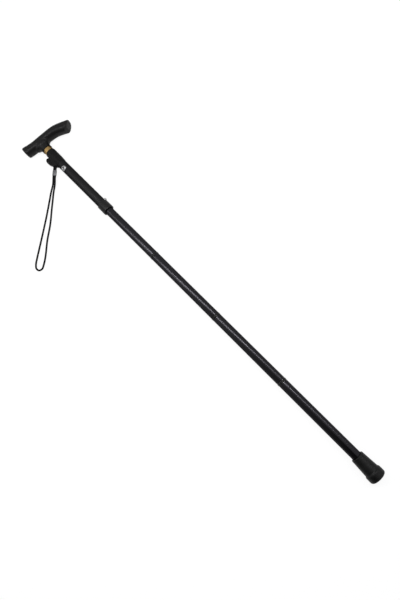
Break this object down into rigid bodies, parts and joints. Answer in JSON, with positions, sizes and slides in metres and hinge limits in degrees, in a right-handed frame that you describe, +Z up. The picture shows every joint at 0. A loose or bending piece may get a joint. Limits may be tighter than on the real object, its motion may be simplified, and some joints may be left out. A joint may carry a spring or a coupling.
{
  "type": "folding walking cane",
  "caption": "Single point folding walking cane with a T handle, push-button height setting, locking collar, elastic-corded sections, wrist strap and a flared rubber tip.",
  "frame": {"origin": "centre of the flat tread of the rubber tip, on the shaft's axis", "axes": "+X up the shaft from the tip to the handle, +Y towards the handle's nose and the wrist strap's lug, +Z up: the cane lies on its side"},
  "size_m": [0.9531, 0.2789, 0.0302],
  "materials": {
    "handle_black": "moulded black plastic, fine grain, semi-matt",
    "collar_black": "moulded black plastic, satin",
    "black_anodised": "black anodised tube, semi-gloss",
    "gold_metal": "gold-coloured metal, satin",
    "black_rubber": "moulded black rubber, matt",
    "black_cord": "round braided cord",
    "bright_steel": "bright plated steel",
    "bare_aluminium": "drawn aluminium",
    "dull_metal": "dull crimped metal",
    "pale_nylon": "natural nylon"
  },
  "bodies": {
    "upper": {"handle": "handle_black", "handle_stem": "bare_aluminium", "handle_collar": "gold_metal", "stem_pin": "bright_steel", "upper_tube": "black_anodised", "tube_stud": "bright_steel", "strap_ring": "black_rubber", "strap_cord": "black_cord", "strap_crimp": "dull_metal", "collet": "pale_nylon"},
    "collar": {"locking_collar": "collar_black"},
    "inner": {"inner_tube": "black_anodised", "guide_plug": "pale_nylon", "button_spring": "bright_steel", "upper_cord_anchor": "pale_nylon", "upper_cord_ferrule": "dull_metal", "shock_cord": "black_cord", "joint_ring_1": "collar_black", "spigot_1": "bare_aluminium"},
    "button": {"height_button": "bright_steel"},
    "section_2": {"section_2_tube": "black_anodised", "joint_ring_2": "collar_black", "spigot_2": "bare_aluminium"},
    "section_3": {"section_3_tube": "black_anodised", "joint_ring_3": "collar_black", "spigot_3": "bare_aluminium"},
    "section_4": {"section_4_tube": "black_anodised", "lower_cord_anchor": "pale_nylon", "lower_cord_ferrule": "dull_metal", "tip_washer": "bright_steel", "rubber_tip": "black_rubber"}
  },
  "joints": [
    {"name": "height_adjust", "type": "slide", "parent": "upper", "child": "inner", "axis": [1, 0, 0], "range_m": [0, 0.1016]},
    {"name": "button_press", "type": "slide", "parent": "inner", "child": "button", "axis": [0, 1, 0], "range_m": [0, 0.0047], "stiffness_N_per_m": 900, "springref_m": -0.004, "deforming": ["button_spring"]},
    {"name": "collar_turn", "type": "hinge", "parent": "upper", "child": "collar", "pos_m": [0.702, 0, 0], "axis": [1, 0, 0], "range_deg": [0, 360]},
    {"name": "joint_1_pull", "type": "slide", "parent": "inner", "child": "section_2", "axis": [-1, 0, 0], "range_m": [0, 0.04], "stiffness_N_per_m": 150, "springref_m": -0.1, "deforming": ["shock_cord"]},
    {"name": "joint_2_pull", "type": "slide", "parent": "section_2", "child": "section_3", "axis": [-1, 0, 0], "range_m": [0, 0.04], "stiffness_N_per_m": 150, "springref_m": -0.1, "deforming": ["shock_cord"]},
    {"name": "joint_3_pull", "type": "slide", "parent": "section_3", "child": "section_4", "axis": [-1, 0, 0], "range_m": [0, 0.04], "stiffness_N_per_m": 150, "springref_m": -0.1, "deforming": ["shock_cord"]}
  ]
}
